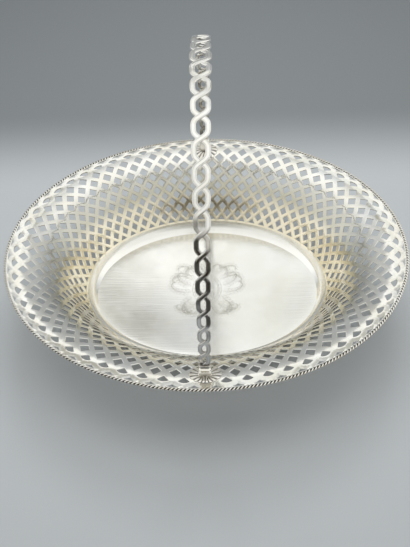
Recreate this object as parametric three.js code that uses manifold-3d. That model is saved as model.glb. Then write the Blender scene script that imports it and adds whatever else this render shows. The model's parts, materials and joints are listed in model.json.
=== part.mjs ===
// Oval silver basket with a pierced trellis wall, a corded rim and a swing handle.
// Millimetres, +Z up. The origin is on the table under the middle of the well, +X runs
// along the long axis, and the hinges stand at the middle of the two long sides.

import * as THREE from "three";
import { mergeVertices } from "three/addons/utils/BufferGeometryUtils.js";
import Module from "manifold-3d";

const wasm = await Module();
wasm.setup();

// Body
const RIM_HALF_LENGTH = 180; // middle of the rim wire to the middle of the basket, along X
const RIM_HALF_WIDTH = 148; // the same, along Y
const WALL_RUN = 72; // level distance from the rim wire in to the edge of the well
const BOWL_DEPTH = 65.5; // middle of the rim wire above the well
const WALL_THICKNESS = 1.2;
const WELL_THICKNESS = 1.6;
const BAND_RUN = 8.2; // plain band between the well and the trellis
const BAND_RISE = 10.6;
const BAND_HOLLOW = 0.6; // how far the band dips below a straight slope
const JOINT_GAP = 0.3; // left between pieces that are soldered or rest together

// Trellis
const COLUMNS = 60; // openings round the wall
const ROWS = 12; // openings up the wall, the lowest ones cut in half by the border
const PANELS = 4; // pierced sheets soldered into one wall
const FIRST_ROW = 6.3; // middle of the top row, from the upper edge of the wall
const LOWER_BORDER = 1.4; // plain strip under the lowest openings
const OPENING_SHARE = 0.28; // half an opening's width as a share of the column pitch
const TOP_ROW_SHARE = 0.65; // how much of its full height the top row has above its middle
const ELLIPSE_STEPS = 360; // arc length steps behind the even spacing of the columns

// Rim wire
const RIM_WIRE_RADIUS = 1.7;
const RIM_WIRE_SIDES = 6;
const RIM_WIRE_STEPS = 80;

// Foot
const FOOT_HEIGHT = 11.6; // table to the underside of the well
const FOOT_INSET = 2.5; // foot's upper edge, in from the edge of the well
const FOOT_SPREAD = 5; // how far the foot flares out on its way down
const FOOT_THICKNESS = 1.2;
const FOOT_WIRE_WIDTH = 3.6;
const FOOT_WIRE_HEIGHT = 2.6;
const OVAL_STEPS = 60;

// Hinge
const PIVOT_INSET = 13.5; // pivot, in from the middle of the rim wire
const PIVOT_RISE = 5.5; // pivot, above the middle of the rim wire
const EYE_RADIUS = 4.4;
const EYE_THICKNESS = 3.4;
const PIN_RADIUS = 1.3;
const PIN_CLEARANCE = 0.3;
const PIN_HEAD_RADIUS = 2.3;
const PIN_HEAD_HEIGHT = 0.9;
const EAR_THICKNESS = 1.8;
const EAR_RADIUS = 4.6;
const EAR_CLEARANCE = 0.3;
const SHELL_THICKNESS = 1;
const SHELL_HALF_WIDTH = 13.6; // across the fan, from the middle to the edge
const SHELL_REACH = 12.5; // from the middle of the fan to its edge, inwards
const SHELL_HEEL = 7.5; // the same, towards the rim
const SHELL_LOBES = 11;
const SHELL_LOBE_DEPTH = 0.9;
const SHELL_SLOT_MARGIN = 0.6; // slot in the shell, wider than the eye that dips into it
const SHELL_HOLE_RADIUS = 1.2; // inside the slot, where the fan's ribs would meet

// Handle
const ARCH_HEIGHT = 180.5; // pivot to the middle of the strands at the top
const HANDLE_RINGS = 33;
const HANDLE_LEAN = 0.8; // degrees from upright, as the handle stands by its own friction
const BLOCK_START = 7.4; // moulded block over the eye, measured up from the pivot
const BLOCK_HEIGHT = 10.7;
const BLOCK_CORNER = 0.8;
const BLOCK_WIDTH = 8.6;
const NECK_WIDTH = 6.6;
const RING_WIDTH_TOP = 15.8; // across both strands at the top of the handle
const RING_WIDTH_END = 9.2;
const RING_WIDTH_FALL = 0.7; // power of the taper from top to end
const RING_ROUNDNESS = 0.12; // third harmonic of the winding, which makes the rings rounder
const RING_PITCH_TOP = 15;
const RING_PITCH_END = 10.9;
const RING_PITCH_FALL = 7.5;
const RING_PITCH_DRIFT = 0.03; // share by which the front rings are longer than average
const STRAND_WIDTH_TOP = 3.8;
const STRAND_WIDTH_END = 3.1;
const STRAND_THICKNESS = 1.6;
const STRAND_LIFT = 1.0; // how far a strand rises where it crosses over the other
const STEPS_PER_RING = 6;

const SILVER = { metalness: 1, roughness: 0.22 };
const BRIGHT = "#e3e2dc";
const SHADED = "#cfccc2";

const wellTop = FOOT_HEIGHT + WELL_THICKNESS;
const rimHeight = wellTop + BOWL_DEPTH;
const pivotHeight = rimHeight + PIVOT_RISE;
const pivotSpan = RIM_HALF_WIDTH - PIVOT_INSET;

function named(name, geometry, colour) {
  const mesh = new THREE.Mesh(
    geometry,
    new THREE.MeshStandardMaterial({ color: colour, ...SILVER }),
  );
  mesh.name = name;
  return mesh;
}

function geometryOf(points, triangles) {
  const geometry = new THREE.BufferGeometry().setFromPoints(points);
  geometry.setIndex(triangles);
  return geometry;
}

// Joining and cutting closed solids

function solidOf(geometry) {
  const bare = geometry.clone();
  bare.deleteAttribute("normal");
  bare.deleteAttribute("uv");
  const merged = mergeVertices(bare, 1e-4);
  return new wasm.Manifold(
    new wasm.Mesh({
      numProp: 3,
      vertProperties: merged.attributes.position.array,
      triVerts: new Uint32Array(merged.index.array),
    }),
  );
}

function geometryFrom(solid) {
  const mesh = solid.getMesh();
  const geometry = new THREE.BufferGeometry();
  geometry.setAttribute("position", new THREE.BufferAttribute(mesh.vertProperties, 3));
  geometry.setIndex(new THREE.BufferAttribute(mesh.triVerts, 1));
  return geometry;
}

// A row of closed section loops joined into one solid, end to end in a ring or capped.

function loft(loops, ring) {
  const count = loops[0].length;
  const triangles = [];
  const spans = ring ? loops.length : loops.length - 1;
  for (let i = 0; i < spans; i++) {
    const here = i * count;
    const next = ((i + 1) % loops.length) * count;
    for (let j = 0; j < count; j++) {
      const after = (j + 1) % count;
      triangles.push(here + j, here + after, next + after);
      triangles.push(here + j, next + after, next + j);
    }
  }
  if (!ring) {
    const last = (loops.length - 1) * count;
    for (let j = 1; j < count - 1; j++) {
      triangles.push(0, j + 1, j);
      triangles.push(last, last + j, last + j + 1);
    }
  }
  return geometryOf(loops.flat(), triangles);
}

// Ovals: every level line of the body lies the same distance in from the rim's ellipse,
// so a turned profile is drawn on the short axis and let out along the long one.

function oval(profile, steps) {
  const turned = new THREE.LatheGeometry(profile, steps);
  turned.rotateX(Math.PI / 2);
  const place = turned.attributes.position;
  const wellRadius = RIM_HALF_WIDTH - WALL_RUN;
  for (let i = 0; i < place.count; i++) {
    const x = place.getX(i);
    const radius = Math.hypot(x, place.getY(i));
    if (radius < 1e-6) continue;
    const letOut = (RIM_HALF_LENGTH - RIM_HALF_WIDTH) * Math.min(1, radius / wellRadius);
    place.setX(i, x + (letOut * x) / radius);
  }
  turned.deleteAttribute("normal");
  turned.deleteAttribute("uv");
  return mergeVertices(turned, 1e-4);
}

function onShortAxis(inset, height) {
  return new THREE.Vector2(RIM_HALF_WIDTH - inset, height);
}

// Wall profile, as distance in from the rim wire and height above the well: a flat
// flare under the rim, a round shoulder and a steep lower wall down to the plain band.

const wallTopInset = RIM_WIRE_RADIUS + JOINT_GAP;
const bandTopInset = WALL_RUN - BAND_RUN;
const wallProfile = new THREE.SplineCurve([
  new THREE.Vector2(wallTopInset, BOWL_DEPTH),
  new THREE.Vector2(0.2 * WALL_RUN, 0.98 * BOWL_DEPTH),
  new THREE.Vector2(0.39 * WALL_RUN, 0.875 * BOWL_DEPTH),
  new THREE.Vector2(0.565 * WALL_RUN, 0.715 * BOWL_DEPTH),
  new THREE.Vector2(0.69 * WALL_RUN, 0.525 * BOWL_DEPTH),
  new THREE.Vector2(0.79 * WALL_RUN, 0.33 * BOWL_DEPTH),
  new THREE.Vector2(bandTopInset - JOINT_GAP, BAND_RISE + JOINT_GAP),
]);
const wallLength = wallProfile.getLength();
const rowPitch = (wallLength - FIRST_ROW - LOWER_BORDER) / (ROWS - 1);

const ellipses = new Map();
function ellipseAt(inset) {
  const key = inset.toFixed(4);
  if (!ellipses.has(key)) {
    const curve = new THREE.EllipseCurve(
      0,
      0,
      RIM_HALF_LENGTH - inset,
      RIM_HALF_WIDTH - inset,
    );
    curve.arcLengthDivisions = ELLIPSE_STEPS;
    ellipses.set(key, curve);
  }
  return ellipses.get(key);
}

// A place on the wall: column and row numbers, and how far out of the sheet's middle.

function wallPoint(column, row, rise) {
  const along = THREE.MathUtils.clamp((FIRST_ROW + rowPitch * row) / wallLength, 0, 1);
  const at = wallProfile.getPointAt(along);
  const slope = wallProfile.getTangentAt(along);
  const inset = at.x - slope.y * rise;
  const turn = (((column / COLUMNS + 0.25) % 1) + 1) % 1;
  const flat = ellipseAt(inset).getPointAt(turn);
  return new THREE.Vector3(flat.x, flat.y, wellTop + at.y + slope.x * rise);
}

// Height of the wall's upper face at a distance in from the rim wire.

function wallHeightAt(inset) {
  let low = 0;
  let high = 1;
  for (let i = 0; i < 30; i++) {
    const middle = (low + high) / 2;
    if (wallProfile.getPoint(middle).x < inset) low = middle;
    else high = middle;
  }
  return wellTop + wallProfile.getPoint(low).y + WALL_THICKNESS / 2;
}

// Trellis. Openings stand at whole columns on even rows and half way between on odd
// rows. What is left between them is a net of crossings and strap lengths.

const h = OPENING_SHARE;
const topEdge = -FIRST_ROW / rowPitch;
const bottomEdge = (wallLength - FIRST_ROW) / rowPitch;

function opening(row, column) {
  const above = row === 0 ? 2 * h * TOP_ROW_SHARE : 2 * h;
  const below = row === ROWS - 1 ? 0 : 2 * h;
  return {
    top: [column, row - above],
    bottom: [column, row + below],
    left: [column - h, row],
    right: [column + h, row],
  };
}

function trellisFaces(first, last) {
  const faces = [];
  const inside = (column) => column > first - 0.01 && column < last + 0.01;
  for (let row = 0; row < ROWS; row++) {
    const start = row % 2 ? first + 0.5 : first;
    for (let column = start; inside(column); column++) {
      const hole = opening(row, column);
      for (const side of [-0.5, 0.5]) {
        if (row === ROWS - 1 || !inside(column + side)) continue;
        const below = opening(row + 1, column + side);
        faces.push(
          side > 0
            ? [hole.right, below.top, below.left, hole.bottom]
            : [hole.bottom, below.right, below.top, hole.left],
        );
      }
    }
    const crossing = row % 2 ? first : first + 0.5;
    for (let column = crossing; inside(column); column++) {
      const over = row === 0 ? [column, topEdge] : opening(row - 1, column).bottom;
      const under =
        row === ROWS - 1 ? [column, bottomEdge] : opening(row + 1, column).top;
      const face = [over];
      if (inside(column + 0.5)) face.push(opening(row, column + 0.5).left);
      face.push(under);
      if (inside(column - 0.5)) face.push(opening(row, column - 0.5).right);
      faces.push(face);
    }
  }
  for (let column = first; inside(column); column++) {
    const hole = opening(0, column);
    if (inside(column + 0.5))
      faces.push([[column, topEdge], [column + 0.5, topEdge], hole.right, hole.top]);
    if (inside(column - 0.5))
      faces.push([[column, topEdge], hole.top, hole.left, [column - 0.5, topEdge]]);
  }
  const foot = (ROWS - 1) % 2 ? first + 0.5 : first;
  for (let column = foot; inside(column); column++) {
    const hole = opening(ROWS - 1, column);
    if (inside(column + 0.5))
      faces.push([[column, bottomEdge], hole.bottom, hole.right, [column + 0.5, bottomEdge]]);
    if (inside(column - 0.5))
      faces.push([[column, bottomEdge], [column - 0.5, bottomEdge], hole.left, hole.bottom]);
  }
  return faces;
}

// Gives the flat net its thickness: two skins, and a side wall along every free edge.

function wallPanel(first, last) {
  const faces = trellisFaces(first, last);
  const numbers = new Map();
  const points = [];
  const numberOf = ([column, row]) => {
    const key = column.toFixed(4) + " " + row.toFixed(4);
    if (!numbers.has(key)) {
      numbers.set(key, points.length / 2);
      for (const rise of [WALL_THICKNESS / 2, -WALL_THICKNESS / 2]) {
        const pitch = wallPoint(column + 0.5, row, 0).distanceTo(
          wallPoint(column - 0.5, row, 0),
        );
        const gap = JOINT_GAP / 2 / pitch;
        points.push(
          wallPoint(THREE.MathUtils.clamp(column, first + gap, last - gap), row, rise),
        );
      }
    }
    return numbers.get(key);
  };
  const triangles = [];
  const edges = new Map();
  for (const face of faces) {
    const corners = face.map(numberOf);
    for (let i = 1; i < corners.length - 1; i++) {
      const [a, b, c] = [corners[0], corners[i], corners[i + 1]];
      triangles.push(2 * a, 2 * b, 2 * c);
      triangles.push(2 * a + 1, 2 * c + 1, 2 * b + 1);
    }
    corners.forEach((a, i) => {
      const b = corners[(i + 1) % corners.length];
      if (!edges.delete(b + " " + a)) edges.set(a + " " + b, [a, b]);
    });
  }
  for (const [a, b] of edges.values()) {
    triangles.push(2 * a, 2 * b + 1, 2 * b);
    triangles.push(2 * a, 2 * a + 1, 2 * b + 1);
  }
  return geometryOf(points, triangles);
}

const basket = new THREE.Group();

const panelNames = ["back_left", "front_left", "front_right", "back_right"];
for (let i = 0; i < PANELS; i++) {
  const share = COLUMNS / PANELS;
  basket.add(
    named("wall_panel_" + panelNames[i], wallPanel(i * share, (i + 1) * share), BRIGHT),
  );
}

// Well: flat plate and the plain band that stands round it.

const bandMiddle = new THREE.Vector2(
  WALL_RUN - BAND_RUN / 2 - BAND_HOLLOW,
  wellTop + BAND_RISE / 2 - BAND_HOLLOW,
);
basket.add(
  named(
    "well_plate",
    oval(
      [
        new THREE.Vector2(0, wellTop - WELL_THICKNESS),
        onShortAxis(WALL_RUN - WELL_THICKNESS / 2, wellTop - WELL_THICKNESS),
        onShortAxis(bandMiddle.x - WELL_THICKNESS, bandMiddle.y - WELL_THICKNESS / 2),
        onShortAxis(bandTopInset - WELL_THICKNESS, wellTop + BAND_RISE - WELL_THICKNESS / 2),
        onShortAxis(bandTopInset, wellTop + BAND_RISE),
        onShortAxis(bandMiddle.x, bandMiddle.y),
        onShortAxis(WALL_RUN, wellTop),
        new THREE.Vector2(0, wellTop),
      ],
      OVAL_STEPS,
    ),
    BRIGHT,
  ),
);

// Rim wire

const rimSection = [];
for (let i = 0; i <= RIM_WIRE_SIDES; i++) {
  const angle = (2 * Math.PI * (i % RIM_WIRE_SIDES)) / RIM_WIRE_SIDES;
  rimSection.push(
    onShortAxis(-RIM_WIRE_RADIUS * Math.cos(angle), rimHeight + RIM_WIRE_RADIUS * Math.sin(angle)),
  );
}
basket.add(named("rim_wire", oval(rimSection, RIM_WIRE_STEPS), BRIGHT));

// Foot: a flared collet soldered under the well, on a moulded base wire.

const footTop = wellTop - WELL_THICKNESS - JOINT_GAP;
const footInset = WALL_RUN + FOOT_INSET;
const footWireTop = FOOT_WIRE_HEIGHT;
const colletBottom = footWireTop + JOINT_GAP;
const colletMiddle = (footTop + colletBottom) / 2;
basket.add(
  named(
    "foot_collet",
    oval(
      [
        onShortAxis(footInset, footTop),
        onShortAxis(footInset + FOOT_THICKNESS, footTop),
        onShortAxis(footInset + FOOT_THICKNESS - 0.3 * FOOT_SPREAD, colletMiddle),
        onShortAxis(footInset + FOOT_THICKNESS - FOOT_SPREAD, colletBottom),
        onShortAxis(footInset - FOOT_SPREAD, colletBottom),
        onShortAxis(footInset - 0.3 * FOOT_SPREAD, colletMiddle),
        onShortAxis(footInset, footTop),
      ],
      OVAL_STEPS,
    ),
    SHADED,
  ),
);

const footWireInset = footInset + FOOT_THICKNESS / 2 - FOOT_SPREAD;
basket.add(
  named(
    "foot_wire",
    oval(
      [
        onShortAxis(footWireInset + FOOT_WIRE_WIDTH / 2, 0),
        onShortAxis(footWireInset - FOOT_WIRE_WIDTH / 2, 0),
        onShortAxis(footWireInset - FOOT_WIRE_WIDTH / 2, 0.5 * footWireTop),
        onShortAxis(footWireInset - FOOT_WIRE_WIDTH / 4, footWireTop),
        onShortAxis(footWireInset + FOOT_WIRE_WIDTH / 2, footWireTop),
        onShortAxis(footWireInset + FOOT_WIRE_WIDTH / 2, 0),
      ],
      OVAL_STEPS,
    ),
    SHADED,
  ),
);

// A plate cut to an outline in the plane of the swing, drawn from the pivot and bored
// for the pin.

const boreRadius = PIN_RADIUS + PIN_CLEARANCE;
const earOffset = EYE_THICKNESS / 2 + EAR_CLEARANCE;

function upright(outline, thickness, middle) {
  const plate = new THREE.ExtrudeGeometry(outline, {
    depth: thickness,
    bevelEnabled: false,
    curveSegments: 10,
  });
  plate.rotateX(Math.PI / 2);
  plate.translate(0, middle + thickness / 2, pivotHeight);
  const bore = new THREE.CylinderGeometry(boreRadius, boreRadius, 2 * thickness, 16);
  bore.translate(0, middle, pivotHeight);
  return geometryFrom(solidOf(plate).subtract(solidOf(bore)));
}

// Scallop shell on the wall under each hinge, a fan that opens towards the well.

function shell(side) {
  const loops = [];
  const steps = 2 * SHELL_LOBES;
  for (let i = 0; i < steps; i++) {
    const angle = (2 * Math.PI * i) / steps;
    const inward = Math.cos(angle);
    const reach = inward > 0 ? SHELL_REACH : SHELL_HEEL + (SHELL_REACH - SHELL_HEEL) * (1 + inward);
    const lobe = SHELL_LOBE_DEPTH * (0.5 - 0.5 * Math.cos(SHELL_LOBES * angle));
    const place = (radius, rise) => {
      const across = (SHELL_HALF_WIDTH / SHELL_REACH) * radius * Math.sin(angle);
      const inset = PIVOT_INSET + radius * inward;
      const height = wallHeightAt(inset) + JOINT_GAP + rise;
      return new THREE.Vector3(across, side * (RIM_HALF_WIDTH - inset), height);
    };
    const edge = reach - lobe;
    const middle = (edge + SHELL_HOLE_RADIUS) / 2;
    loops.push([
      place(SHELL_HOLE_RADIUS, 0),
      place(middle, 0),
      place(edge, 0),
      place(edge, SHELL_THICKNESS / 2),
      place(middle, SHELL_THICKNESS),
      place(SHELL_HOLE_RADIUS, SHELL_THICKNESS),
    ]);
  }
  const fan = loft(side < 0 ? loops : loops.reverse(), true);
  const slot = new THREE.BoxGeometry(
    2 * (EYE_RADIUS + SHELL_SLOT_MARGIN),
    2 * earOffset,
    2 * PIVOT_INSET,
  );
  slot.translate(0, side * pivotSpan, pivotHeight);
  return geometryFrom(solidOf(fan).subtract(solidOf(slot)));
}

// Ear: a round-topped lug that stands on the shell beside the eye, bored for the pin.

function ear(side, place) {
  const inset = PIVOT_INSET + place * (earOffset + EAR_THICKNESS / 2);
  const highest = wallHeightAt(inset - EAR_THICKNESS / 2);
  const foot = highest + SHELL_THICKNESS + 2 * JOINT_GAP - pivotHeight;
  const outline = new THREE.Shape();
  outline.moveTo(-EAR_RADIUS, foot);
  outline.lineTo(EAR_RADIUS, foot);
  outline.lineTo(EAR_RADIUS, 0);
  outline.absarc(0, 0, EAR_RADIUS, 0, Math.PI);
  outline.closePath();
  return upright(outline, EAR_THICKNESS, side * (RIM_HALF_WIDTH - inset));
}

// Pin: a rivet closed over on both ears.

function pin(side) {
  const face = earOffset + EAR_THICKNESS + EAR_CLEARANCE;
  const end = face + PIN_HEAD_HEIGHT;
  const turned = new THREE.LatheGeometry(
    [
      new THREE.Vector2(0, -end),
      new THREE.Vector2(0.6 * PIN_HEAD_RADIUS, -end),
      new THREE.Vector2(PIN_HEAD_RADIUS, -face),
      new THREE.Vector2(PIN_RADIUS, -face),
      new THREE.Vector2(PIN_RADIUS, face),
      new THREE.Vector2(PIN_HEAD_RADIUS, face),
      new THREE.Vector2(0.6 * PIN_HEAD_RADIUS, end),
      new THREE.Vector2(0, end),
    ],
    16,
  );
  turned.deleteAttribute("normal");
  turned.deleteAttribute("uv");
  turned.translate(0, side * pivotSpan, pivotHeight);
  return mergeVertices(turned, 1e-4);
}

// Handle end: a round eye, a narrow neck and a moulded block that carries the strands.

function handleEnd(side) {
  const half = BLOCK_WIDTH / 2;
  const neck = NECK_WIDTH / 2;
  const meet = Math.asin(neck / EYE_RADIUS);
  const shoulder = EYE_RADIUS * Math.cos(meet);
  const outline = new THREE.Shape();
  outline.absarc(0, 0, EYE_RADIUS, Math.PI / 2 + meet, Math.PI / 2 - meet + 2 * Math.PI);
  outline.quadraticCurveTo(neck, (shoulder + BLOCK_START) / 2, half, BLOCK_START);
  outline.lineTo(half, BLOCK_HEIGHT - BLOCK_CORNER);
  outline.lineTo(half - BLOCK_CORNER, BLOCK_HEIGHT);
  outline.lineTo(BLOCK_CORNER - half, BLOCK_HEIGHT);
  outline.lineTo(-half, BLOCK_HEIGHT - BLOCK_CORNER);
  outline.lineTo(-half, BLOCK_START);
  outline.quadraticCurveTo(-neck, (shoulder + BLOCK_START) / 2, -neck, shoulder);
  return upright(outline, EYE_THICKNESS, side * pivotSpan);
}

// Handle strands: two flat wires that wind round each other along an elliptical arch.

const arch = new THREE.EllipseCurve(0, 0, pivotSpan, ARCH_HEIGHT, Math.PI, 0, true);
arch.arcLengthDivisions = 2 * ELLIPSE_STEPS;
const archLength = arch.getLength();
const strandStart = BLOCK_HEIGHT + JOINT_GAP;
const strandLength = archLength - 2 * strandStart;

function between(end, top, fall, share) {
  return top + (end - top) * Math.abs(2 * share - 1) ** fall;
}

// Phase of the winding, half a turn for each ring, with shorter rings near the ends.

const phaseSteps = 400;
const phases = [0];
for (let i = 0; i < phaseSteps; i++) {
  const share = (i + 0.5) / phaseSteps;
  const pitch = between(RING_PITCH_END, RING_PITCH_TOP, RING_PITCH_FALL, share);
  phases.push(phases[i] + 1 / (pitch * (1 + RING_PITCH_DRIFT * (1 - 2 * share))));
}

function phaseAt(share) {
  const at = share * phaseSteps;
  const low = Math.min(Math.floor(at), phaseSteps - 1);
  const value = phases[low] + (at - low) * (phases[low + 1] - phases[low]);
  return (Math.PI * HANDLE_RINGS * value) / phases[phaseSteps];
}

function shareAt(phase) {
  let low = 0;
  let high = 1;
  for (let i = 0; i < 40; i++) {
    const middle = (low + high) / 2;
    if (phaseAt(middle) < phase) low = middle;
    else high = middle;
  }
  return low;
}

function strandPoint(share, hand) {
  const along = (strandStart + share * strandLength) / archLength;
  const at = arch.getPointAt(along);
  const run = arch.getTangentAt(along);
  const swing =
    (between(RING_WIDTH_END, RING_WIDTH_TOP, RING_WIDTH_FALL, share) -
      between(STRAND_WIDTH_END, STRAND_WIDTH_TOP, 1, share)) /
    2;
  const phase = phaseAt(share);
  const lift = hand * STRAND_LIFT * Math.cos(phase);
  const wind = Math.sin(phase) + RING_ROUNDNESS * Math.sin(3 * phase);
  return {
    middle: new THREE.Vector3(
      (hand * swing * wind) / (1 - RING_ROUNDNESS),
      at.x - run.y * lift,
      pivotHeight + at.y + run.x * lift,
    ),
    out: new THREE.Vector3(0, -run.y, run.x),
  };
}

function strand(hand) {
  const steps = HANDLE_RINGS * STEPS_PER_RING;
  const loops = [];
  for (let i = 0; i <= steps; i++) {
    const share = shareAt((Math.PI * i) / STEPS_PER_RING);
    const here = strandPoint(share, hand);
    const before = strandPoint(Math.max(share - 0.0005, 0), hand).middle;
    const after = strandPoint(Math.min(share + 0.0005, 1), hand).middle;
    const run = after.sub(before).normalize();
    const across = new THREE.Vector3().crossVectors(run, here.out).normalize();
    const out = new THREE.Vector3().crossVectors(across, run);
    if (i === 0 || i === steps) across.set(1, 0, 0);
    const half = between(STRAND_WIDTH_END, STRAND_WIDTH_TOP, 1, share) / 2;
    const corner = (a, b) =>
      here.middle
        .clone()
        .addScaledVector(across, a * half)
        .addScaledVector(out, (b * STRAND_THICKNESS) / 2);
    loops.push([corner(-1, 1), corner(1, 1), corner(1, -1), corner(-1, -1)]);
  }
  return loft(loops, false);
}

function leaned(geometry) {
  geometry.translate(0, 0, -pivotHeight);
  geometry.rotateY(THREE.MathUtils.degToRad(HANDLE_LEAN));
  return geometry.translate(0, 0, pivotHeight);
}

for (const [name, side] of [
  ["front", -1],
  ["back", 1],
]) {
  basket.add(named("scallop_shell_" + name, shell(side), BRIGHT));
  basket.add(named("hinge_ear_" + name + "_outer", ear(side, -1), SHADED));
  basket.add(named("hinge_ear_" + name + "_inner", ear(side, 1), SHADED));
  basket.add(named("hinge_pin_" + name, pin(side), SHADED));
  basket.add(named("handle_end_" + name, leaned(handleEnd(side)), BRIGHT));
}
basket.add(named("handle_strand_rising", leaned(strand(1)), BRIGHT));
basket.add(named("handle_strand_falling", leaned(strand(-1)), BRIGHT));

export default basket;
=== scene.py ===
# Oval silver table basket: a flat well with a plain band, a pierced trellis wall under a
# corded rim, a low oval foot, and a swing handle of two strands that wind over and under
# each other between two hinges on scallop shells.

import json
import math

import bmesh
import bpy
import numpy as np
from mathutils import Matrix, Vector


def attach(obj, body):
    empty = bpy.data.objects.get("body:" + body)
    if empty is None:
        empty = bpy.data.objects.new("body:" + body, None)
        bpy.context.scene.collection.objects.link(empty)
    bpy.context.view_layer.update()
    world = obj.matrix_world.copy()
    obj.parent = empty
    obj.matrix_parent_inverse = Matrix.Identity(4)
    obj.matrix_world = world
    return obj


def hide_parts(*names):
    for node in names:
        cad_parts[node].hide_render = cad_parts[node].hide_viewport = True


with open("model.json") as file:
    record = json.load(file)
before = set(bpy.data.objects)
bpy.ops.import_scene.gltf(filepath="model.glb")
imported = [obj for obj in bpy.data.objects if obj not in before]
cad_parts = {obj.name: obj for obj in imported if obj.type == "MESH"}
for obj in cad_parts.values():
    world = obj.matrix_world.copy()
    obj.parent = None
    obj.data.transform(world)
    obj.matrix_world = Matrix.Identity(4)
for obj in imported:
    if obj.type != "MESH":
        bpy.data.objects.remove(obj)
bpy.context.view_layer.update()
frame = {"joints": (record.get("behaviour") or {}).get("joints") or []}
MM = 0.001  # sizes are in millimetres up to the point where a mesh is made


# Camera. The photograph was taken from about 52 degrees above the table, almost square to
# the long side and a little off level, and it is aimed at the middle of the well.
WELL_TOP = 13.2
CAMERA_DISTANCE = 613.35
CAMERA_ELEVATION = math.radians(52.11)
CAMERA_AZIMUTH = math.radians(1.847)
CAMERA_ROLL = math.radians(-2.546)
CAMERA_FOCAL_PIXELS = 619.85
CAMERA_SHIFT_PIXELS = (1.98, 15.96)
PHOTO_HEIGHT = 547  # the longer side of the picture, which the sensor spans
SENSOR = 36.0

camera_data = bpy.data.cameras.new("camera")
camera_data.sensor_width = SENSOR
camera_data.lens = CAMERA_FOCAL_PIXELS / PHOTO_HEIGHT * SENSOR
camera_data.shift_x = -CAMERA_SHIFT_PIXELS[0] / PHOTO_HEIGHT
camera_data.shift_y = CAMERA_SHIFT_PIXELS[1] / PHOTO_HEIGHT
camera_data.clip_start = 0.02
camera_data.clip_end = 20.0
camera = bpy.data.objects.new("camera", camera_data)
bpy.context.scene.collection.objects.link(camera)
bpy.context.scene.camera = camera

away = Vector(
    (
        math.sin(CAMERA_AZIMUTH) * math.cos(CAMERA_ELEVATION),
        -math.cos(CAMERA_AZIMUTH) * math.cos(CAMERA_ELEVATION),
        math.sin(CAMERA_ELEVATION),
    )
)
level = Vector((math.cos(CAMERA_AZIMUTH), math.sin(CAMERA_AZIMUTH), 0))
upward = away.cross(level)
right = level * math.cos(CAMERA_ROLL) + upward * math.sin(CAMERA_ROLL)
top = upward * math.cos(CAMERA_ROLL) - level * math.sin(CAMERA_ROLL)
camera.matrix_world = Matrix.Translation(
    Vector((0, 0, WELL_TOP * MM)) + away * CAMERA_DISTANCE * MM
) @ Matrix((right, top, away)).transposed().to_4x4()


# Table and studio. A pale grey table that turns darker towards the back, and two soft lamps
# overhead. The camera sees a plain backdrop, and the silver mirrors a bright room that has
# a dark place behind the camera.
TABLE_REACH = 4.0  # metres from the middle to each side
TABLE_NEAR = "#C6CBCE"
TABLE_FAR = "#8A8F92"
TABLE_DARKENS = (0.16, 0.31)  # metres behind the middle, from the near to the far tone
# Where the table ends in the silver, in metres, and how much of the dark place shows there.
TABLE_ENDS = (-0.36, -0.44)
DARK_SHARE = 0.93
DARK_PLACE = "#2A2622"
BACKDROP = "#B4B9BB"
# Strength of the room as a light, and as it shows in the metal.
ROOM_GLOW = (0.3, 1.12)
# Tones of the room and its ceiling, from behind the camera over the top to the far side.
ROOM_TONES = (
    (0.05, "#DCDCD8"),
    (0.15, "#F0F0EC"),
    (0.38, "#FFFFFC"),
    (0.6, "#FFFFFC"),
    (0.7, "#E2E4E4"),
    (0.78, "#C6C8C8"),
    (0.87, "#C0C2C2"),
    (0.95, "#A6A8A8"),
)
# Soft patches of the room: the direction of each, its half size that way, and its colour.
ROOM_PATCHES = (
    ((0.0, -0.93, 0.36), (1.1, 0.6, 0.34), "#EAEAE6"),
    ((0.0, 0.66, 0.75), (0.36, 0.068, 0.3), "#FFFFFC"),
    ((0.06, 0.58, 0.81), (0.075, 0.1, 0.3), "#F0F2EE"),
    ((-0.17, 0.56, 0.81), (0.09, 0.055, 0.3), "#ABAAA2"),
    ((0.17, 0.56, 0.81), (0.08, 0.055, 0.3), "#B4B4AE"),
    ((0.0, -1.0, 0.0), (0.6, 0.6, 0.4), "#A6A49C"),
    ((0.0, -1.0, 0.0), (0.56, 0.6, 0.27), "#2E2822"),
)
PATCH_FADES = (1.25, 0.7)  # shares of a half size where a patch starts and is full
# Each lamp's name, width, height, place and power, in metres and watts.
LAMPS = (
    ("overhead_softbox", 1.0, 0.6, (0.0, 0.0, 1.0), 5.0),
    ("window_softbox", 0.6, 0.4, (0.04, 0.6, 1.0), 4.0),
)


def linear(hex_colour):
    """The linear colour of an sRGB hex value."""
    channels = [int(hex_colour[i : i + 2], 16) / 255 for i in (1, 3, 5)]
    return [c / 12.92 if c <= 0.04045 else ((c + 0.055) / 1.055) ** 2.4 for c in channels] + [1.0]


def add_node(tree, kind, inputs=None, **settings):
    """Adds a node; an input given as a socket is linked, and any other value is set."""
    node = tree.nodes.new(kind)
    for name, value in settings.items():
        setattr(node, name, value)
    for name, value in (inputs or {}).items():
        if isinstance(value, bpy.types.NodeSocket):
            tree.links.new(value, node.inputs[name])
        else:
            node.inputs[name].default_value = value
    return node


def set_stops(ramp_node, stops):
    """Sets a colour ramp's stops from (position, colour) pairs."""
    ramp = ramp_node.color_ramp
    while len(ramp.elements) < len(stops):
        ramp.elements.new(0.5)
    for element, (position, colour) in zip(ramp.elements, stops):
        element.position = position
        element.color = linear(colour)


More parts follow.
